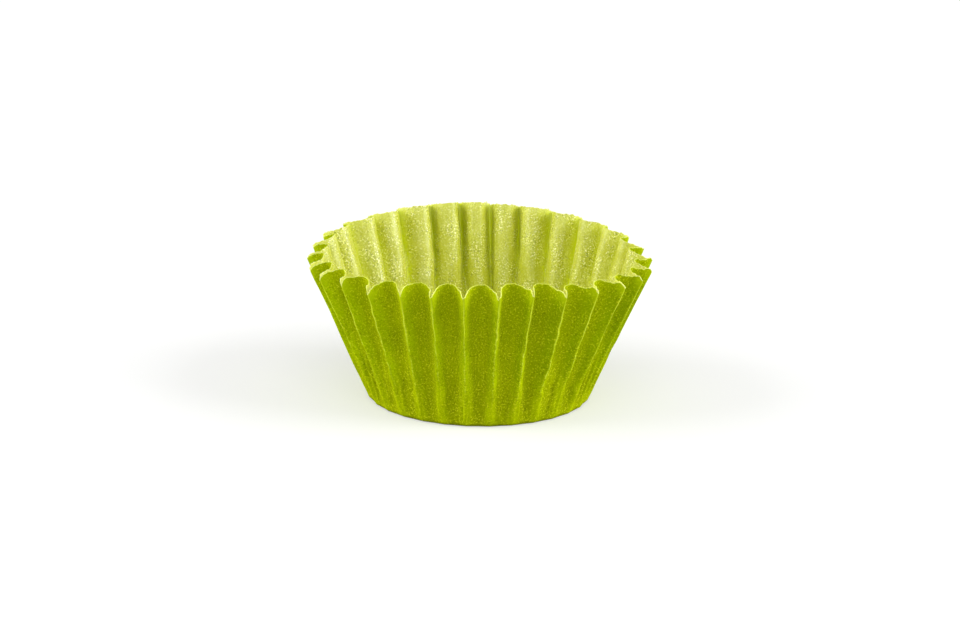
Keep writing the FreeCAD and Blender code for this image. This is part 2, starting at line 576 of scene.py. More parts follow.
    def heights(self, radius: np.ndarray, angle: np.ndarray) -> np.ndarray:
        """How high each grid point stands above the ground.

        Up each column the paper keeps its length. So the square of each step's rise is the square
        of the paper's length less the squares of the step outwards and the step round the cup.

        Args:
            radius: How far out each grid point lies.
            angle: Where round the cup it lies, in radians.

        Returns:
            The height of the middle of the paper, in millimetres.
        """
        gain_radius = np.diff(radius, axis=0)
        gain_turn = np.diff(angle, axis=0) * (radius[1:] + radius[:-1]) / 2
        gain_climb = np.diff(self.climb, axis=0)
        rise = np.sqrt(np.maximum(gain_climb**2 - gain_radius**2 - gain_turn**2, 0.0))
        height = np.concatenate([np.zeros_like(radius[:1]), np.cumsum(rise, axis=0)])
        return height + self.paper.thickness / 2

    def build(self) -> None:
        """Works the grid of points out, and keeps it with each point's place on the flat round.

        Each ring of the wall is cut at its ridges into flutes. Half a flute's paper, from a ridge
        to the middle of the hollow, keeps its length and spans half the chord between the ridges.
        """
        rng = np.random.default_rng(self.seed)
        paper, uneven = self.paper, self.uneven
        count = paper.flutes
        flute, share, side = paper.column_places()
        next_ridge = (flute + 1) % count
        self.across = (1.0 - share) * np.where(side == 1, 1, -1)

        rows = paper.row_places()[:, None]
        stretch = np.clip(rows / paper.wall_length, 0.0, 1.0) ** self.cut_growth
        climb = rows + self.cut_lengths(flute, rng) * stretch
        climb_share = np.clip(climb / paper.wall_length, 0.0, 1.0)
        self.climb = climb

        first, second = self.ridge_turns(climb, np.stack([flute, next_ridge])[:, None], rng)
        second = second + np.where(next_ridge == 0, TURN, 0.0)
        half_angle = (second - first) / 2
        middle = (second + first) / 2
        floor_half = (second[0] - first[0]) / 2
        half_paper = floor_half * (paper.floor_radius + climb)
        self.flat_angle = np.where(side == 0, first[0] + share * floor_half, second[0] - share * floor_half)
        self.from_ridge = share * half_paper

        chord = self.ring_radius(climb, middle) * half_angle
        bend = 1.0 + rng.normal(0.0, uneven.bend, count)[flute]
        hollow, fold = self.pleat.bends(climb_share, bend)
        from_ridge, depth = self.pleat.section(self.from_ridge, half_paper, chord, hollow, fold)
        flatten = self.pressed_depth + (1 - self.pressed_depth) * smooth_step(climb, *self.pressed)
        depth = depth * flatten * (1.0 + rng.normal(0.0, uneven.depth, count)[flute])

        off_middle = np.where(side == 1, 1.0 - from_ridge, from_ridge - 1.0)
        skew = (self.skew + rng.normal(0.0, uneven.skew, count))[flute] * climb_share
        off_middle = off_middle - skew * (1.0 - off_middle**2)
        angle = middle + half_angle * off_middle

        push = rng.normal(0.0, uneven.push, count)
        near = np.where(side == 0, flute, next_ridge)
        far = np.where(side == 0, next_ridge, flute)
        pushed = push[near] * (1.0 - share / 2) + push[far] * share / 2
        radius = self.ring_radius(climb, angle) + pushed * climb_share - depth
        height = self.heights(radius, angle)
        self.points = np.stack([radius * np.cos(angle), radius * np.sin(angle), height], axis=2)
        self.crumple()

    def normals(self) -> np.ndarray:
        """The outward direction at each grid point: the step round the cup crossed with the step up.

        Returns:
            The directions, each of length 1.
        """
        step_round = np.roll(self.points, -1, axis=1) - np.roll(self.points, 1, axis=1)
        step_up = np.gradient(self.points, axis=0)
        direction = np.cross(step_round, step_up)
        return direction / np.linalg.norm(direction, axis=2, keepdims=True)

    def crumple(self) -> None:
        """Moves the points along their normals by ripples that grow from nothing on the floor."""
        climb = self.climb
        loose = sum(ripple.at(self.flat_angle, climb) for ripple in self.ripples)
        crushed = self.pressed_ripple.at(self.flat_angle, climb)
        low_down = smooth_step(climb, *self.pressed_ripple_rise)
        low_down = low_down * (1.0 - smooth_step(climb, *self.pressed_ripple_fall))
        height = loose * smooth_step(climb, *self.ripple_rise) + crushed * low_down
        self.points = self.points + self.normals() * height[..., None]


# ---------------------------------------------------------------------------------------------
# Finishes
# ---------------------------------------------------------------------------------------------


# What feeds a node's socket: another socket or a value
Feed = bpy.types.NodeSocket | float | tuple[float, ...]

# A Mix node's sockets for the colour below, the colour above and their blend
MIX_BELOW, MIX_ABOVE, MIX_BLEND = 6, 7, 2


class NodeSheet:
    """Adds nodes to one tree and joins them."""

    def __init__(self, tree: bpy.types.NodeTree) -> None:
        """Keeps the tree."""
        self.tree = tree

    def add(self, kind: str, **settings: object) -> bpy.types.Node:
        """Adds a node.

        Args:
            kind: The node's type.
            **settings: The node's properties.

        Returns:
            The node.
        """
        node = self.tree.nodes.new(kind)
        for name, value in settings.items():
            setattr(node, name, value)
        return node

    def feed(self, socket: bpy.types.NodeSocket, value: Feed) -> None:
        """Joins a socket to another, or sets its value.

        Args:
            socket: The socket that is fed.
            value: The socket that feeds it, or the value.
        """
        if isinstance(value, bpy.types.NodeSocket):
            self.tree.links.new(value, socket)
        else:
            socket.default_value = value

    def effect(self, group: bpy.types.NodeTree, **values: Feed) -> bpy.types.Node:
        """Places a shared effect and feeds its inputs.

        Args:
            group: The effect's node group.
            **values: What feeds each input, by the input's name with _ for a space.

        Returns:
            The node.
        """
        node = self.add("ShaderNodeGroup", node_tree=group)
        for name, value in values.items():
            self.feed(node.inputs[name.replace("_", " ")], value)
        return node

    def math(self, operation: str, first: Feed, second: Feed = 0.0) -> bpy.types.NodeSocket:
        """The result of a sum on one or two values.

        Args:
            operation: The sum's name, such as ADD.
            first: The first value.
            second: The second value, which a sum on one value leaves out.

        Returns:
            The socket that gives the result.
        """
        node = self.add("ShaderNodeMath", operation=operation)
        self.feed(node.inputs[0], first)
        self.feed(node.inputs[1], second)
        return node.outputs[0]

    def times(self, first: Feed, second: Feed) -> bpy.types.NodeSocket:
        """One value times another."""
        return self.math("MULTIPLY", first, second)

    def plus(self, first: Feed, second: Feed) -> bpy.types.NodeSocket:
        """One value and another."""
        return self.math("ADD", first, second)

    def span(self, value: Feed, low: float, high: float) -> bpy.types.NodeSocket:
        """A soft rise from 0 at low to 1 at high, or a fall where low is the higher.

        Args:
            value: The value to look up.
            low: Where the result is 0.
            high: Where it is 1.

        Returns:
            The socket that gives the result.
        """
        node = self.add("ShaderNodeMapRange", interpolation_type="SMOOTHSTEP")
        self.feed(node.inputs["Value"], value)
        self.feed(node.inputs["From Min"], low)
        self.feed(node.inputs["From Max"], high)
        return node.outputs["Result"]

    def blend(self, share: Feed, first: Feed, second: Feed) -> bpy.types.NodeSocket:
        """The second colour laid over the first by a share.

        Args:
            share: How much of the second colour shows, 0 to 1.
            first: The colour below.
            second: The colour laid over it.

        Returns:
            The socket that gives the colour.
        """
        node = self.add("ShaderNodeMix", data_type="RGBA", blend_type="MIX")
        self.feed(node.inputs["Factor"], share)
        self.feed(node.inputs[MIX_BELOW], first)
        self.feed(node.inputs[MIX_ABOVE], second)
        return node.outputs[MIX_BLEND]

    def mark(self, name: str, output: str = "Fac") -> bpy.types.NodeSocket:
        """What an attribute of the mesh holds, as its Fac or its Vector."""
        return self.add("ShaderNodeAttribute", attribute_name=name).outputs[output]

    def noise(self, vector: Feed, scale: Feed, detail: float, roughness: float) -> bpy.types.NodeSocket:
        """Cloudy noise.

        Args:
            vector: Where the noise is read.
            scale: How many crests it has for each millimetre.
            detail: How many finer layers are added.
            roughness: How strong each layer is as a share of the last.

        Returns:
            The socket that gives the noise, 0 to 1.
        """
        node = self.add("ShaderNodeTexNoise")
        self.feed(node.inputs["Vector"], vector)
        self.feed(node.inputs["Scale"], scale)
        self.feed(node.inputs["Detail"], detail)
        self.feed(node.inputs["Roughness"], roughness)
        return node.outputs["Fac"]

    def vectors(
        self, operation: str, vector: Feed, parts: tuple[float, float, float]
    ) -> bpy.types.NodeSocket:
        """A vector with three numbers added to its parts, or each part times a number.

        Args:
            operation: ADD or MULTIPLY.
            vector: The vector.
            parts: The three numbers.

        Returns:
            The socket that gives the result.
        """
        node = self.add("ShaderNodeVectorMath", operation=operation)
        self.feed(node.inputs[0], vector)
        self.feed(node.inputs[1], parts)
        return node.outputs[0]


def new_group(
    name: str, inputs: dict[str, str], outputs: dict[str, str]
) -> tuple[bpy.types.NodeTree, bpy.types.Node, bpy.types.Node]:
    """Makes an empty shader node group with named sockets.

    Args:
        name: The group's name.
        inputs: The type of each input, by its name.
        outputs: The type of each output, by its name.

    Returns:
        The group, its input node and its output node.
    """
    group = bpy.data.node_groups.new(name, "ShaderNodeTree")
    for socket, kind in inputs.items():
        group.interface.new_socket(name=socket, in_out="INPUT", socket_type=kind)
    for socket, kind in outputs.items():
        group.interface.new_socket(name=socket, in_out="OUTPUT", socket_type=kind)
    entry = group.nodes.new("NodeGroupInput")
    leave = group.nodes.new("NodeGroupOutput")
    return group, entry, leave


@dataclass(frozen=True)
class Cloudiness:
    """One layer of cloudy noise, and the levels between which it counts.

    Attributes:
        scale: How many crests it has for each millimetre.
        detail: How many finer layers are added.
        roughness: How strong each finer layer is as a share of the last.
        low: The level at which it starts to show.
        high: The level at which it shows fully.
    """

    scale: float
    detail: float
    roughness: float
    low: float = 0.0
    high: float = 1.0

    def level(self, sheet: NodeSheet, vector: Feed, finer: Feed | None = None) -> bpy.types.NodeSocket:
        """The plain noise.

        Args:
            sheet: Where its nodes go.
            vector: Where it is read.
            finer: A factor on its scale, if it has one.

        Returns:
            The socket that gives the noise, 0 to 1.
        """
        scale = self.scale if finer is None else sheet.times(finer, self.scale)
        return sheet.noise(vector, scale, self.detail, self.roughness)

    def mask(self, sheet: NodeSheet, vector: Feed, finer: Feed | None = None) -> bpy.types.NodeSocket:
        """The noise as a mask: nothing up to the low level and whole from the high one.

        Args:
            sheet: Where its nodes go.
            vector: Where it is read.
            finer: A factor on its scale, if it has one.

        Returns:
            The socket that gives the mask, 0 to 1.
        """
        return sheet.span(self.level(sheet, vector, finer), self.low, self.high)


@dataclass
class PaperEffects:
    """The effects that the outside, the inside and the cut edge share, each a node group built once.

    Attributes:
        light: The light flecks.
        dark: The dark flecks.
        cloud: The slow clouds of the dye.
        patch: The patches that the flecks keep to.
        tooth: The fine tooth of the surface.
        shift: How far the dark flecks and patches are moved, so that they differ from the rest.
        drawn: The factors by which the fibres' pattern is drawn out up the wall.
        fibres: The broad and the fine fibres, each with its share of the sum.
        streak: The levels of that sum between which a streak shows.
        breaks: The long breaks in the line along a ridge.
        breaks_left: How much of the line is left in a break.
        beads: The beads that the line falls into.
        beads_left: How much of the line is left between two beads.
        wear_and_highlight_rise: Where on the wall the line, a rubbed crease and painted highlight, starts
            and is whole, in millimetres.
        unbroken: Where on the wall its breaks start to close and have closed, in millimetres.
        grain: The node group of the flecks, clouds, patches and tooth.
        fibre: The node group of the fibres.
        fold_wear_and_highlight: The node group of the lines along the ridges, partly rubbed creases and
            partly painted highlights.
    """

    light: Cloudiness = Cloudiness(4.8, 1.0, 0.5, 0.50, 0.70)
    dark: Cloudiness = Cloudiness(4.2, 1.0, 0.5, 0.52, 0.72)
    cloud: Cloudiness = Cloudiness(0.35, 3.0, 0.55, 0.35, 0.65)
    patch: Cloudiness = Cloudiness(0.55, 2.0, 0.6, 0.40, 0.62)
    tooth: Cloudiness = Cloudiness(4.5, 2.0, 0.6)
    shift: tuple[float, float, float] = (17.0, 5.0, 9.0)
    drawn: tuple[float, float, float] = (1.0, 1.0, 0.22)
    fibres: tuple[tuple[Cloudiness, float], ...] = (
        (Cloudiness(1.0, 3.0, 0.6), 0.55),
        (Cloudiness(3.1, 3.0, 0.6), 0.45),
    )
    streak: Span = (0.48, 0.66)
    breaks: Cloudiness = Cloudiness(0.9, 2.0, 0.6, 0.40, 0.56)
    breaks_left: float = 0.15
    beads: Cloudiness = Cloudiness(3.2, 1.0, 0.5, 0.38, 0.62)
    beads_left: float = 0.2
    wear_and_highlight_rise: Span = (1.5, 10.0)
    unbroken: Span = (9.0, 15.0)
    grain: bpy.types.NodeTree = field(init=False)
    fibre: bpy.types.NodeTree = field(init=False)
    fold_wear_and_highlight: bpy.types.NodeTree = field(init=False)

    def __post_init__(self) -> None:
        """Builds the groups."""
        self.grain = self.build_grain()
        self.fibre = self.build_fibre()
        self.fold_wear_and_highlight = self.build_fold_wear_and_highlight()

    def build_grain(self) -> bpy.types.NodeTree:
        """The speckle of dyed paper: light and dark flecks, clouds, patches and a fine tooth.

        Returns:
            The node group.
        """
        names = ("Light fleck", "Dark fleck", "Cloud", "Patch", "Tooth")
        group, entry, leave = new_group(
            "paper_grain",
            {"Vector": "NodeSocketVector", "Fineness": "NodeSocketFloat"},
            {name: "NodeSocketFloat" for name in names},
        )
        sheet = NodeSheet(group)
        vector, fineness = entry.outputs["Vector"], entry.outputs["Fineness"]
        shifted = sheet.vectors("ADD", vector, self.shift)
        sheet.feed(leave.inputs["Light fleck"], self.light.mask(sheet, vector, fineness))
        sheet.feed(leave.inputs["Dark fleck"], self.dark.mask(sheet, shifted, fineness))
        sheet.feed(leave.inputs["Cloud"], self.cloud.mask(sheet, vector))
        sheet.feed(leave.inputs["Patch"], self.patch.mask(sheet, shifted))
        sheet.feed(leave.inputs["Tooth"], self.tooth.level(sheet, vector, fineness))
        return group

    def build_fibre(self) -> bpy.types.NodeTree:
        """Streaks drawn out up the wall, where the paper was stretched and rubbed by the die.

        Returns:
            The node group.
        """
        group, entry, leave = new_group(
            "paper_fibre",
            {"Vector": "NodeSocketVector", "Width": "NodeSocketFloat"},
            {"Streak": "NodeSocketFloat", "Height": "NodeSocketFloat"},
        )
        sheet = NodeSheet(group)
        drawn = sheet.vectors("MULTIPLY", entry.outputs["Vector"], self.drawn)
        broad, fine = (
            sheet.times(fibres.level(sheet, drawn, entry.outputs["Width"]), share)
            for fibres, share in self.fibres
        )
        both = sheet.plus(broad, fine)
        sheet.feed(leave.inputs["Streak"], sheet.span(both, *self.streak))
        sheet.feed(leave.inputs["Height"], both)
        return group

    def build_fold_wear_and_highlight(self) -> bpy.types.NodeTree:
        """A thin pale line along each ridge, partly a rubbed crease and partly a painted highlight, whole
        near the rim, beaded and then gone low down.

        Across the ridge the line fades as e to the power of minus the square of the distance,
        counted in widths of the line.

        Returns:
            The node group.
        """
        group, entry, leave = new_group(
            "fold_wear_and_highlight",
            {
                "Vector": "NodeSocketVector",
                "From ridge": "NodeSocketFloat",
                "Climb": "NodeSocketFloat",
                "Width": "NodeSocketFloat",
            },
            {"Wear and highlight": "NodeSocketFloat"},
        )
        sheet = NodeSheet(group)
        vector, climb = entry.outputs["Vector"], entry.outputs["Climb"]
        widths = sheet.math("DIVIDE", entry.outputs["From ridge"], entry.outputs["Width"])
        line = sheet.math("EXPONENT", sheet.times(sheet.times(widths, widths), -1.0))
        breaks = sheet.plus(self.breaks.mask(sheet, vector), self.breaks_left)
        beads = sheet.plus(self.beads.mask(sheet, vector), self.beads_left)
        held = sheet.math("MAXIMUM", sheet.times(breaks, beads), sheet.span(climb, *self.unbroken))
        rise = sheet.span(climb, *self.wear_and_highlight_rise)
        sheet.feed(leave.inputs["Wear and highlight"], sheet.times(line, sheet.times(rise, held)))
        return group


class Skin(Enum):
    """The faces of the paper, each with its own finish, in the order of the material slots."""

    OUTSIDE = 0
    INSIDE = 1
    CUT_EDGE = 2


@dataclass(frozen=True)
class Zones:
    """Where on the paper each zone starts and is whole.

    Attributes:
        pressed: The wall low down, by its length up the wall in millimetres.
        flank: The flanks, by the share of the way from the ridge to the hollow's middle.
        side: The flanks painted lighter or darker for light and shade, by the place across the flute.
        lip_highlight: The painted highlight's stretch below the cut edge, by the distance from the edge in
            millimetres.
        fold: The bottom of each fold, by the distance from the ridge in millimetres.
        top: The top of each fold, by the distance from the cut edge in millimetres.
        rim: The line along the cut edge, by the distance from the edge in millimetres.
        sole_shadow: The painted contact shadow along the line that the cup stands on, by its length up the
            wall in millimetres.
        frayed: The places where the cut edge is frayed, by the tooth of the paper.
    """

    pressed: Span = (8.0, 3.0)
    flank: Span = (0.75, 0.15)
    side: Span = (0.30, 0.90)
    lip_highlight: Span = (1.4, 0.2)
    fold: Span = (1.1, 0.3)
    top: Span = (2.2, 0.4)
    rim: Span = (0.10, 0.02)
    sole_shadow: Span = (0.35, 0.05)
    frayed: Span = (0.38, 0.95)


@dataclass(frozen=True)
class Amounts:
    """How strongly each layer of colour shows, 0 to 1.

    Attributes:
        cloud: The slow clouds.
        light: The light flecks.
        dark: The dark flecks.
        streak: The streaks.
        ridge: The lines along the ridges, rubbed creases and painted highlights.
        lip_highlight: The painted highlight below the cut edge.
        tip: The inside of each fold's top, partly rubbed pale and partly painted light let through the
            paper.
        rim: The line along the cut edge.
        sole_shadow: The painted contact shadow at the edge that the cup stands on.
    """

    cloud: float
    light: float
    dark: float
    streak: float
    ridge: float
    lip_highlight: float = 0.6
    tip: float = 0.7
    rim: float = 0.9
    sole_shadow: float = 0.6


@dataclass(frozen=True)
class PaperFinish:
    """How one face of the paper looks.

    Attributes:
        name: The material's name.
        ground: The paper's main colour, in the hollows.
        first: Its colour on the flank beside each flute's first ridge, painted lighter than the hollow's as
            light falling on that flank.
        second: Its colour on the flank beside each flute's second ridge: painted shade on the outside,
            darker than the hollow's, and painted light on the inside, paler than the hollow's.
        low: The hollows' colour low down, where the punch has pressed the wall, darker than the flanks'
            there as painted shade.
        lit_low_flank: The colour of the flanks there, lighter than the hollows' as painted light.
        cloud: The colour of its slow clouds.
        light: The colour of its light flecks.
        dark: The colour of its dark flecks.
        streak: The colour of its streaks.
        ridge: The colour of the line along the ridges: a rubbed crease and a painted highlight on the
            outside, and painted light that lifts the shade of the grooves on the inside.
        lip_highlight: The colour of the painted highlight over the last millimetre below the cut edge.
        tip: The colour inside the very top of each fold, paler, partly as rubbing and partly as painted
            light let through the paper.
        rim: The colour of the line along the cut edge.
        sole_shadow: The colour of the edge that the cup stands on, darker on the outside as a painted
            contact shadow.
        amounts: How strongly each of these layers shows.
        zones: Where the zones of the wall lie.
        fineness: The factor on how fine the flecks and the tooth are.
        fibre_width: How many broad fibres there are for each millimetre.
        fold_width: How far the line along a ridge reaches to each side, in millimetres.
        calm: How much fewer flecks the flanks have than the hollows.
        patchy: How much the flecks keep to patches.
        flank_rim: How much of the line along the cut edge the flanks keep where it isn't frayed.
        roughness: The roughness between the streaks.
        streak_roughness: How much rougher the highest fibres are than the lowest.
        specular: How strongly the surface mirrors.
        frost: How strongly the light flecks glint.
        frost_roughness: How rough those glints are.
        bump: How strongly the tooth of the paper shows in relief.
        bump_depth: How deep that relief is at full strength, in millimetres.
        fibre_relief: How high the fibres stand as a share of the tooth.
        through: How much of the light goes into the paper, and partly through it.
        through_colours: How far each of red, green and blue goes, as a share of through_reach.
        through_reach: How far the light goes inside the paper, in millimetres.
    """

    name: str
    ground: Colour
    first: Colour
    second: Colour
    low: Colour
    lit_low_flank: Colour
    cloud: Colour
    light: Colour
    dark: Colour
    streak: Colour
    ridge: Colour
    lip_highlight: Colour
    tip: Colour
    rim: Colour
    sole_shadow: Colour
    amounts: Amounts
    zones: Zones = Zones()
    fineness: float = 1.0
    fibre_width: float = 1.6
    fold_width: float = 0.055
    calm: float = 0.4
    patchy: float = 0.3
    flank_rim: float = 0.5
    roughness: float = 0.6
    streak_roughness: float = 0.2
    specular: float = 0.1
    frost: float = 0.0
    frost_roughness: float = 0.3
    bump: float = 0.15
    bump_depth: float = 0.05
    fibre_relief: float = 0.8
    through: float = 0.6
    through_colours: tuple[float, float, float] = (1.0, 1.0, 0.3)
    through_reach: float = 0.15

    def build(self, effects: PaperEffects) -> bpy.types.Material:
        """Makes the material.

        Args:
            effects: The shared node groups.

        Returns:
            The material.
        """
        material = bpy.data.materials.new(self.name)
        material.use_nodes = True
        sheet = NodeSheet(material.node_tree)
        shader = material.node_tree.nodes["Principled BSDF"]
        shader.inputs["Specular IOR Level"].default_value = self.specular
        shader.inputs["Coat Roughness"].default_value = self.frost_roughness
        shader.inputs["Subsurface Weight"].default_value = self.through
        shader.inputs["Subsurface Radius"].default_value = self.through_colours
        shader.inputs["Subsurface Scale"].default_value = self.through_reach * MILLIMETRE

        flat = sheet.mark("round", "Vector")
        sweep = sheet.mark("sweep", "Vector")
        grain = sheet.effect(effects.grain, Vector=flat, Fineness=self.fineness)
        fibre = sheet.effect(effects.fibre, Vector=sweep, Width=self.fibre_width)
        on_flank = sheet.span(sheet.mark("hollow"), *self.zones.flank)
        patches = sheet.plus(sheet.times(grain.outputs["Patch"], self.patchy), 1.0 - self.patchy)
        calmed = sheet.math("SUBTRACT", 1.0, sheet.times(on_flank, self.calm))
        flecked = sheet.times(calmed, patches)
        glints = sheet.times(grain.outputs["Light fleck"], flecked)

        colour = self.base_colour(sheet, on_flank)
        layers = (
            # A painted highlight over the last stretch below the cut edge
            (sheet.span(sheet.mark("to_rim"), *self.zones.lip_highlight), self.amounts.lip_highlight, self.lip_highlight),
            (grain.outputs["Cloud"], self.amounts.cloud, self.cloud),
            (fibre.outputs["Streak"], self.amounts.streak, self.streak),
            (sheet.times(grain.outputs["Dark fleck"], flecked), self.amounts.dark, self.dark),
            (glints, self.amounts.light, self.light),
            *self.edge_layers(sheet, effects, flat, on_flank, grain.outputs["Tooth"]),
        )
        for mask, amount, tint in layers:
            colour = sheet.blend(sheet.times(mask, amount), colour, tint)
        sheet.feed(shader.inputs["Base Color"], colour)
        sheet.feed(shader.inputs["Coat Weight"], sheet.times(glints, self.frost))

        height = fibre.outputs["Height"]
        rougher = sheet.times(height, self.streak_roughness)
        smoothest = self.roughness - self.streak_roughness / 2
        sheet.feed(shader.inputs["Roughness"], sheet.plus(rougher, smoothest))
        bump = sheet.add("ShaderNodeBump")
        bump.inputs["Strength"].default_value = self.bump
        bump.inputs["Distance"].default_value = self.bump_depth * MILLIMETRE
        relief = sheet.plus(grain.outputs["Tooth"], sheet.times(height, self.fibre_relief))
        sheet.feed(bump.inputs["Height"], relief)
        sheet.feed(shader.inputs["Normal"], bump.outputs["Normal"])
        return material

    def base_colour(self, sheet: NodeSheet, on_flank: Feed) -> bpy.types.NodeSocket:
        """The paper's colour with painted light and shade: the hollow's, a lighter or darker one for each
        flank, and others low down.

        Args:
            sheet: Where the nodes go.
            on_flank: The mask of the flanks.

        Returns:
            The socket that gives the colour.
        """
        across = sheet.mark("across")
        start, whole = self.zones.side
        # Each flank is painted lighter or darker than the hollow, as painted light and shade
        upper = sheet.blend(sheet.span(across, -start, -whole), self.ground, self.first)
        upper = sheet.blend(sheet.span(across, start, whole), upper, self.second)
        # Low down the hollows are painted darker and the flanks lighter, as painted shade and light of the
        # shallow flutes
        lower = sheet.blend(on_flank, self.low, self.lit_low_flank)
        return sheet.blend(sheet.span(sheet.mark("climb"), *self.zones.pressed), upper, lower)

    def edge_layers(
        self, sheet: NodeSheet, effects: PaperEffects, flat: Feed, on_flank: Feed, tooth: Feed
    ) -> tuple[tuple[bpy.types.NodeSocket, float, Colour], ...]:
        """The lines and tips along the paper's folds and edges, among them painted highlights, painted
        light and a painted contact shadow, from the lowest layer up.

        Args:
            sheet: Where the nodes go.
            effects: The shared node groups.
            flat: Each point's place on the flat round.
            on_flank: The mask of the flanks.
            tooth: The tooth of the paper.

        Returns:
            The mask of each layer, how strongly it shows, and its colour.
        """
        climb, from_ridge, to_rim = (sheet.mark(name) for name in ("climb", "from_ridge", "to_rim"))
        wear_and_highlight = sheet.effect(
            effects.fold_wear_and_highlight, Vector=flat, From_ridge=from_ridge, Climb=climb, Width=self.fold_width
        )
        in_fold, at_top = sheet.span(from_ridge, *self.zones.fold), sheet.span(to_rim, *self.zones.top)
        # The fold tops are paler, partly rubbed and partly painted light let through the paper
        in_tip = sheet.times(in_fold, at_top)
        frayed = sheet.plus(sheet.times(on_flank, self.flank_rim), sheet.span(tooth, *self.zones.frayed))
        frayed = sheet.math("MINIMUM", sheet.plus(frayed, in_tip), 1.0)
        return (
            # The line along the ridges: a rubbed crease and a painted highlight outside, painted light in
            # the grooves inside
            (wear_and_highlight.outputs["Wear and highlight"], self.amounts.ridge, self.ridge),
            (in_tip, self.amounts.tip, self.tip),
            (sheet.times(sheet.span(to_rim, *self.zones.rim), frayed), self.amounts.rim, self.rim),
            # A painted contact shadow along the edge that the cup stands on
            (sheet.span(climb, *self.zones.sole_shadow), self.amounts.sole_shadow, self.sole_shadow),
        )


FINISHES = {
    Skin.OUTSIDE: PaperFinish(
        name="green_paper_outside",
        ground=paint(162, 176, 0),
        # The first flank is painted light and the second flank painted shade
        first=paint(175, 199, 0),
        second=paint(148, 172, 0),
        low=paint(151, 164, 0),
        lit_low_flank=paint(172, 190, 0),
        cloud=paint(140, 158, 0),
        light=paint(220, 224, 40),
        dark=paint(108, 122, 0),
        streak=paint(178, 196, 0),
        ridge=paint(216, 232, 70),
        lip_highlight=paint(166, 182, 0),
        tip=paint(176, 196, 10),
        rim=paint(232, 240, 130),
        sole_shadow=paint(110, 118, 6),
        amounts=Amounts(cloud=0.45, light=0.85, dark=0.65, streak=0.35, ridge=0.72),
        fold_width=0.045,
        calm=0.2,
        specular=0.0,
    ),
    Skin.INSIDE: PaperFinish(
        name="green_paper_inside",
        ground=paint(198, 201, 50),
        # Both flanks are painted paler, as painted light
        first=paint(208, 211, 68),
        second=paint(212, 215, 72),
        low=paint(204, 206, 56),
        lit_low_flank=paint(220, 224, 90),
        cloud=paint(188, 194, 26),
        # Near-white flecks: paper grain, and partly painted glints where the coat also shines
        light=paint(255, 255, 184),
        dark=paint(152, 160, 0),
        streak=paint(228, 232, 124),
        # A bright ridge colour: painted light that lifts the shade in the grooves
        ridge=paint(222, 230, 14),
        lip_highlight=paint(218, 222, 92),
        tip=paint(226, 232, 112),
        rim=paint(240, 244, 176),
        sole_shadow=paint(200, 205, 80),
        amounts=Amounts(cloud=0.6, light=1.0, dark=1.0, streak=0.6, ridge=0.9),
        fold_width=0.6,
        calm=0.0,
        patchy=0.7,
        roughness=0.36,
        specular=0.7,
        frost=0.6,
        bump=0.5,
    ),
    Skin.CUT_EDGE: PaperFinish(
        name="green_paper_cut_edge",
        ground=paint(176, 190, 26),
        first=paint(238, 242, 160),
        second=paint(238, 242, 160),
        low=paint(204, 214, 66),
        lit_low_flank=paint(204, 214, 66),
        cloud=paint(196, 207, 56),
        light=paint(236, 242, 150),
        dark=paint(170, 182, 30),
        streak=paint(226, 232, 120),
        ridge=paint(244, 248, 190),
        lip_highlight=paint(206, 216, 70),
        tip=paint(255, 255, 228),
        rim=paint(224, 232, 110),
        sole_shadow=paint(180, 190, 40),
        amounts=Amounts(cloud=0.6, light=0.6, dark=0.6, streak=0.4, ridge=0.6),
        roughness=0.75,
        specular=0.05,
    ),
}


# ---------------------------------------------------------------------------------------------
# The cup
# ---------------------------------------------------------------------------------------------


@dataclass
class FaceGrid:
    """One face of the paper: its points, from the floor's edge up to the rim and then inwards.

    Attributes:
        points: Blocks of points, in order.
        marks: For each block, each point's place on the flat round: its angle, its length up the
            wall, its distance from its ridge and from the rim, the share of the way from the ridge
            to the hollow's middle, and its place across the flute from -1 to 1.
        faces: Arrays of corners, one for each number of corners.
        rim: The numbers of the points along the cut edge.
    """

    points: list[np.ndarray]
    marks: list[np.ndarray]
    faces: list[np.ndarray]
    rim: np.ndarray

    @property
    def count(self) -> int:
        """How many points there are so far."""
        return sum(len(block) for block in self.points)


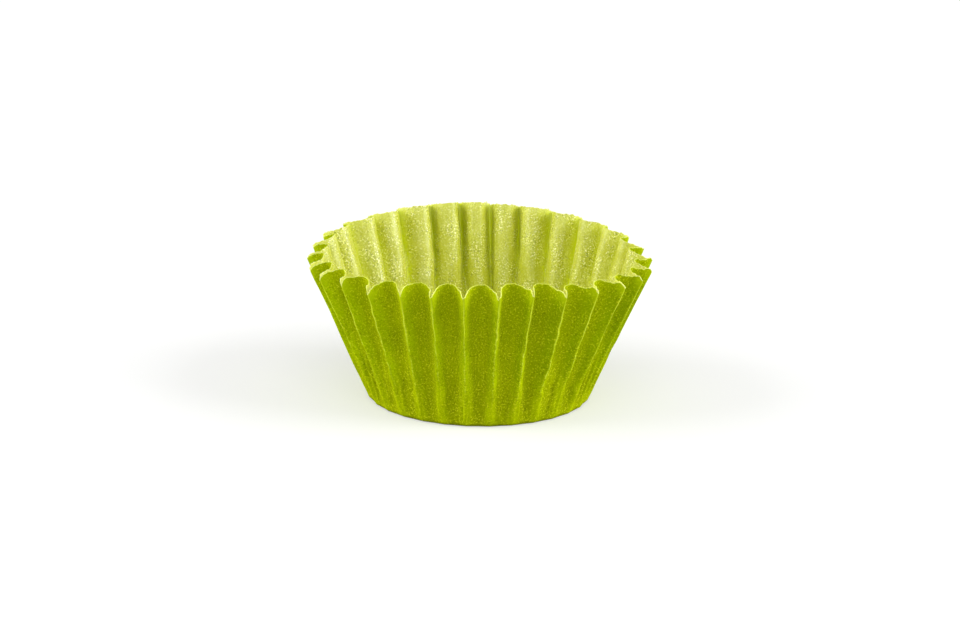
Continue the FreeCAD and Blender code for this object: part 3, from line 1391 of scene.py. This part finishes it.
@dataclass
class CandyCup:
    """The whole cup: one closed sheet with an outside, an inside and a cut edge.

    Attributes:
        sheet: The pressed sheet's middle surface.
        floor_rings: The radius of each ring of the floor inside the grid, and how many times
            fewer points it has than the ring outside it.
        floor_wave: How high the floor's shallow ripples are.
        floor_ripples: How often each of the two waves of those ripples goes round the floor.
        floor_start: How far round the floor the first of them is moved, in radians of its own turn.
        sharp_turn: Two faces that meet at more than this many degrees meet in a sharp edge.
        face_shift: How far apart the patterns of the two faces are, in millimetres, so that the
            flecks of one don't lie over those of the other.
        map_room: The room that each face's round has on its half of the map, as a share of its width.
    """

    sheet: PleatedSheet
    floor_rings: tuple[tuple[float, int], ...] = ((10.0, 3), (8.6, 1), (6.8, 3), (4.8, 1), (2.6, 2))
    floor_wave: float = 0.03
    floor_ripples: tuple[int, int] = (5, 3)
    floor_start: float = 1.0
    sharp_turn: float = 60.0
    face_shift: float = 50.0
    map_room: float = 1.1

    def floor_height(self, radius: float, angle: np.ndarray) -> np.ndarray:
        """The floor's shallow rise: ripples that fade to nothing at the middle and at the edge.

        Round the floor the ripple is 1 plus the sine of one wave times the cosine of the other.
        Outwards it grows as the share of the way to the edge, times 1 less that share's fourth
        power.

        Args:
            radius: How far from the floor's middle.
            angle: The angles round it, in radians.

        Returns:
            The height at each angle, in millimetres.
        """
        share = radius / self.sheet.paper.floor_radius
        first, second = self.floor_ripples
        ripple = 1.0 + np.sin(first * angle + self.floor_start) * np.cos(second * angle)
        return self.floor_wave * share * (1.0 - share**4) * ripple

    def face(self, lift: float) -> FaceGrid:
        """One face of the paper: the middle surface moved along its normals, and the floor inside it.

        The outside is kept from going below the ground, and the inside from coming nearer to it
        than the paper's thickness.

        Args:
            lift: How far the face lies from the middle surface, outwards where positive.

        Returns:
            The points, their places on the flat round, the faces and the rim.
        """
        sheet = self.sheet
        grid = sheet.points + sheet.normals() * lift
        lowest = 0.0 if lift > 0 else sheet.paper.thickness
        grid[..., 2] = np.maximum(grid[..., 2], lowest)
        marks = np.broadcast_arrays(
            sheet.flat_angle,
            sheet.climb,
            sheet.from_ridge,
            sheet.climb[-1:] - sheet.climb,
            sheet.paper.column_places()[1],
            sheet.across,
        )
        number = np.arange(sheet.climb.size).reshape(sheet.climb.shape)
        ahead = np.roll(number, -1, axis=1)
        quads = np.stack([number[:-1], ahead[:-1], ahead[1:], number[1:]], axis=2).reshape(-1, 4)
        places = np.stack(marks, axis=2).reshape(-1, len(marks))
        face = FaceGrid([grid.reshape(-1, 3)], [places], [quads], number[-1])
        self.add_floor(face, number[0], sheet.paper.thickness / 2 - lift)
        return face

    def add_floor(self, face: FaceGrid, outer: np.ndarray, level: float) -> None:
        """Closes a face with its floor.

        Each ring has the same number of points as the last or fewer, joined to it by faces with
        more corners, and the last ring is joined to one middle point.

        Args:
            face: The face so far.
            outer: The numbers of the points along the hole in its middle.
            level: The height of its flat floor, in millimetres.
        """
        angle = self.sheet.flat_angle
        edge, far = self.sheet.paper.floor_radius, self.sheet.paper.wall_length
        for radius, fewer in self.floor_rings:
            angle = angle[::fewer]
            ring = np.arange(len(angle)) + face.count
            high = level + self.floor_height(radius, angle)
            face.points.append(np.stack([radius * np.cos(angle), radius * np.sin(angle), high], axis=1))
            marks = np.broadcast_arrays(angle, radius - edge, far, far, 1.0, 0.0)
            face.marks.append(np.stack(marks, axis=1))
            starts = np.arange(len(angle)) * fewer
            reached = [outer[(starts + step) % len(outer)] for step in range(fewer, -1, -1)]
            face.faces.append(np.stack([ring, np.roll(ring, -1), *reached], axis=1))
            outer = ring
        middle = np.full(len(outer), face.count)
        face.points.append(np.array([[0.0, 0.0, level]]))
        face.marks.append(np.array([[0.0, -edge, far, far, 1.0, 0.0]]))
        face.faces.append(np.stack([outer, np.roll(outer, -1), middle], axis=1))

    def build(self, name: str) -> bpy.types.Object:
        """Joins both faces along the cut edge into one closed mesh.

        Args:
            name: The piece's name.

        Returns:
            The new object, with its attributes and each face's material index by its skin.
        """
        half = self.sheet.paper.thickness / 2
        outside, inside = self.face(half), self.face(-half)
        shift = outside.count
        inner_rim = inside.rim + shift
        edge = np.stack([outside.rim, np.roll(outside.rim, -1), np.roll(inner_rim, -1), inner_rim], axis=1)
        groups = [(faces, Skin.OUTSIDE) for faces in outside.faces]
        groups += [(faces[:, ::-1] + shift, Skin.INSIDE) for faces in inside.faces]
        groups.append((edge, Skin.CUT_EDGE))

        mesh = bpy.data.meshes.new(name)
        points = np.concatenate(outside.points + inside.points)
        corners = [face for faces, _ in groups for face in faces.tolist()]
        mesh.from_pydata((points * MILLIMETRE).tolist(), [], corners)
        slots = np.concatenate([np.full(len(faces), skin.value) for faces, skin in groups])
        mesh.polygons.foreach_set("material_index", slots.astype(np.int32))
        mesh.polygons.foreach_set("use_smooth", np.ones(len(slots), dtype=bool))
        mesh.set_sharp_from_angle(angle=math.radians(self.sharp_turn))
        self.mark(mesh, np.concatenate(outside.marks + inside.marks), shift)
        mesh.update()
        piece = bpy.data.objects.new(name, mesh)
        bpy.context.scene.collection.objects.link(piece)
        return piece

    def mark(self, mesh: bpy.types.Mesh, marks: np.ndarray, shift: int) -> None:
        """Writes each point's place on the flat round into the mesh, for the finishes to follow.

        Args:
            mesh: The cup's mesh.
            marks: Each point's place on the flat round, in the order that FaceGrid gives.
            shift: How many points the outside has, which come first.
        """
        paper = self.sheet.paper
        angle, climb, from_ridge, to_rim, hollow, across = marks.T
        reach = paper.floor_radius + climb
        inner = np.arange(len(marks)) >= shift
        apart = np.where(inner, self.face_shift, 0.0)
        right, back = reach * np.cos(angle), reach * np.sin(angle)
        even = reach.mean()
        vectors = {
            "round": (right, back, apart),
            "sweep": (even * np.cos(angle), even * np.sin(angle), climb + apart),
        }
        for name, parts in vectors.items():
            layer = mesh.attributes.new(name, "FLOAT_VECTOR", "POINT")
            layer.data.foreach_set("vector", np.stack(parts, axis=1).astype(np.float32).ravel())
        numbers = {
            "from_ridge": from_ridge,
            "climb": climb,
            "to_rim": to_rim,
            "hollow": hollow,
            "across": across,
        }
        for name, values in numbers.items():
            layer = mesh.attributes.new(name, "FLOAT", "POINT")
            layer.data.foreach_set("value", values.astype(np.float32))

        # The outside's round lies in the left half of the map and the inside's in the right half.
        size = 4 * self.map_room * (paper.floor_radius + paper.wall_length)
        places = np.stack([np.where(inner, 0.75, 0.25) + right / size, 0.5 + back / size], axis=1)
        corners = np.zeros(len(mesh.loops), dtype=np.int32)
        mesh.loops.foreach_get("vertex_index", corners)
        layer = mesh.uv_layers.new(name="paper")
        layer.uv.foreach_set("vector", places[corners].astype(np.float32).ravel())

    def dress(self, piece: bpy.types.Object, effects: PaperEffects) -> None:
        """Gives each skin its finish, in the order of the material slots."""
        for skin in Skin:
            piece.data.materials.append(FINISHES[skin].build(effects))


# ---------------------------------------------------------------------------------------------
# The studio
# ---------------------------------------------------------------------------------------------


@dataclass(frozen=True)
class SoftLight:
    """A square soft light that faces the cup.

    Attributes:
        name: The lamp's name.
        turn: Where it stands round the cup, in degrees from the front, to the right where positive.
        height: How far above the horizon it stands, in degrees.
        distance: How far from the cup it stands, in metres.
        size: The length of its side, in metres.
        share: How bright a white card that faces it would look, 1 being full white.
    """

    name: str
    turn: float
    height: float
    distance: float
    size: float
    share: float

    def build(self, target: Vector) -> None:
        """Hangs the lamp up, aimed at a point.

        A white card that faces the lamp looks full white when its power in watts is the square of
        pi times the distance.

        Args:
            target: The point.
        """
        lamp = bpy.data.lights.new(self.name, "AREA")
        lamp.shape = "SQUARE"
        lamp.size = self.size
        lamp.energy = self.share * (math.pi * self.distance) ** 2
        turn, height = math.radians(self.turn), math.radians(self.height)
        level = math.cos(height)
        out = Vector((math.sin(turn) * level, -math.cos(turn) * level, math.sin(height)))
        piece = bpy.data.objects.new(self.name, lamp)
        piece.location = target + out * self.distance
        piece.rotation_euler = (-out).to_track_quat("-Z", "Y").to_euler()
        bpy.context.scene.collection.objects.link(piece)


@dataclass
class Studio:
    """The plain pale floor, the soft lights, the white surroundings and the camera.

    Attributes:
        floor_size: The length of the floor's side, in metres.
        floor_grey: How pale the floor is, 0 to 1.
        dome: How bright the white surroundings are as a light, 1 being full white.
        floor_lift: How much white the camera sees added to the floor, so that it meets the
            surroundings and still keeps the shadow.
        lights: The soft lights.
        distance: How far the camera stands from the cup, in metres.
        elevation: How far above the horizon the camera stands, in degrees.
        roll: How far the camera is turned about its own line of sight, in degrees.
        frame_width: How wide the picture is at the cup, in metres.
        aim_height: The height on the cup's axis that the camera aims at, in metres.
        aim_side: How far to the right of the axis it aims, in metres.
        view: How near and how far the camera sees, in metres.
    """

    floor_size: float = 6.0
    floor_grey: float = 0.62
    dome: float = 0.46
    floor_lift: float = 0.35
    lights: tuple[SoftLight, ...] = (
        SoftLight("key_light", 78.0, 29.0, 0.7, 0.50, 0.82),
        SoftLight("fill_light", -82.0, 29.0, 0.7, 0.55, 0.74),
        SoftLight("front_light", 3.0, 30.0, 0.8, 0.60, 0.15),
        SoftLight("top_light", 0.0, 62.0, 0.8, 0.45, 0.08),
    )
    distance: float = 1.0
    elevation: float = 17.25
    roll: float = 0.85
    frame_width: float = 0.11068
    aim_height: float = 0.00879
    aim_side: float = 0.00006
    view: Span = (0.05, 40.0)

    def build(self) -> None:
        """Sets the whole studio up."""
        self.build_floor()
        self.build_surroundings()
        for light in self.lights:
            light.build(Vector((0.0, 0.0, self.aim_height)))
        self.build_camera()
        bpy.context.scene.view_settings.view_transform = "Standard"

    def seen_or_mirrored(self, sheet: NodeSheet) -> bpy.types.NodeSocket:
        """Tells what is looked at from what only lights the cup.

        Args:
            sheet: Where the nodes go.

        Returns:
            A socket that gives 1 for rays from the camera, from a mirror or through glass.
        """
        path = sheet.add("ShaderNodeLightPath")
        seen = sheet.math("MAXIMUM", path.outputs["Is Camera Ray"], path.outputs["Is Glossy Ray"])
        return sheet.math("MAXIMUM", seen, path.outputs["Is Transmission Ray"])

    def build_floor(self) -> None:
        """Lays the floor: a pale matt square that the cup stands on."""
        half = self.floor_size / 2
        corners = [(-half, -half, 0.0), (half, -half, 0.0), (half, half, 0.0), (-half, half, 0.0)]
        mesh = bpy.data.meshes.new("studio_floor")
        mesh.from_pydata(corners, [], [(0, 1, 2, 3)])
        floor = bpy.data.objects.new("studio_floor", mesh)
        bpy.context.scene.collection.objects.link(floor)

        material = bpy.data.materials.new("studio_floor")
        material.use_nodes = True
        tree = material.node_tree
        sheet = NodeSheet(tree)
        shader = tree.nodes["Principled BSDF"]
        shader.inputs["Base Color"].default_value = (self.floor_grey,) * 3 + (1.0,)
        shader.inputs["Roughness"].default_value = 1.0
        shader.inputs["Specular IOR Level"].default_value = 0.0
        glow = sheet.add("ShaderNodeEmission")
        sheet.feed(glow.inputs["Strength"], sheet.times(self.seen_or_mirrored(sheet), self.floor_lift))
        added = sheet.add("ShaderNodeAddShader")
        sheet.feed(added.inputs[0], shader.outputs[0])
        sheet.feed(added.inputs[1], glow.outputs[0])
        sheet.feed(tree.nodes["Material Output"].inputs["Surface"], added.outputs[0])
        mesh.materials.append(material)

    def build_surroundings(self) -> None:
        """Makes the world white to the eye, and a soft even dome as a light."""
        world = bpy.data.worlds.new("studio_world")
        bpy.context.scene.world = world
        world.use_nodes = True
        tree = world.node_tree
        sheet = NodeSheet(tree)
        light = tree.nodes["Background"]
        seen = sheet.add("ShaderNodeBackground")
        for background, strength in ((light, self.dome), (seen, 1.0)):
            background.inputs["Color"].default_value = (1.0, 1.0, 1.0, 1.0)
            background.inputs["Strength"].default_value = strength
        mixed = sheet.add("ShaderNodeMixShader")
        sheet.feed(mixed.inputs[0], self.seen_or_mirrored(sheet))
        sheet.feed(mixed.inputs[1], light.outputs[0])
        sheet.feed(mixed.inputs[2], seen.outputs[0])
        sheet.feed(tree.nodes["World Output"].inputs["Surface"], mixed.outputs[0])

    def build_camera(self) -> None:
        """Stands the camera in front of the cup, looking down at it, turned a little on its own axis.

        Its lens is to the distance what its sensor's width is to the picture's width at the cup.
        """
        lens = bpy.data.cameras.new("camera")
        lens.lens = lens.sensor_width * self.distance / self.frame_width
        lens.clip_start, lens.clip_end = self.view
        camera = bpy.data.objects.new("camera", lens)
        lift = math.radians(self.elevation)
        back = Vector((0.0, -math.cos(lift), math.sin(lift)))
        aim = Vector((self.aim_side, 0.0, self.aim_height))
        look = (-back).to_track_quat("-Z", "Y").to_matrix().to_4x4()
        turned = look @ Matrix.Rotation(math.radians(self.roll), 4, "Z")
        camera.matrix_world = Matrix.Translation(aim + back * self.distance) @ turned
        bpy.context.scene.collection.objects.link(camera)
        bpy.context.scene.camera = camera


def main() -> None:
    """Builds the cup and the studio around it."""
    logging.basicConfig(level=logging.INFO)
    low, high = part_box(CUP_NODE)
    mean_width = (high.x - low.x + high.y - low.y) / 2
    reach = mean_width / 2 / MILLIMETRE
    sheet = PleatedSheet(PaperRound(), Pleat(), rim_radius=reach - RIM_INSET)
    sheet.build()
    design = CandyCup(sheet)
    cup = design.build(CUP_PIECE)
    design.dress(cup, PaperEffects())
    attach(cup, "root")
    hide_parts(CUP_NODE)
    log.info("%s: %d faces", cup.name, len(cup.data.polygons))

    studio = Studio()
    studio.build()
    log.info("studio: %d lights", len(studio.lights))


if __name__ == "__main__":
    main()
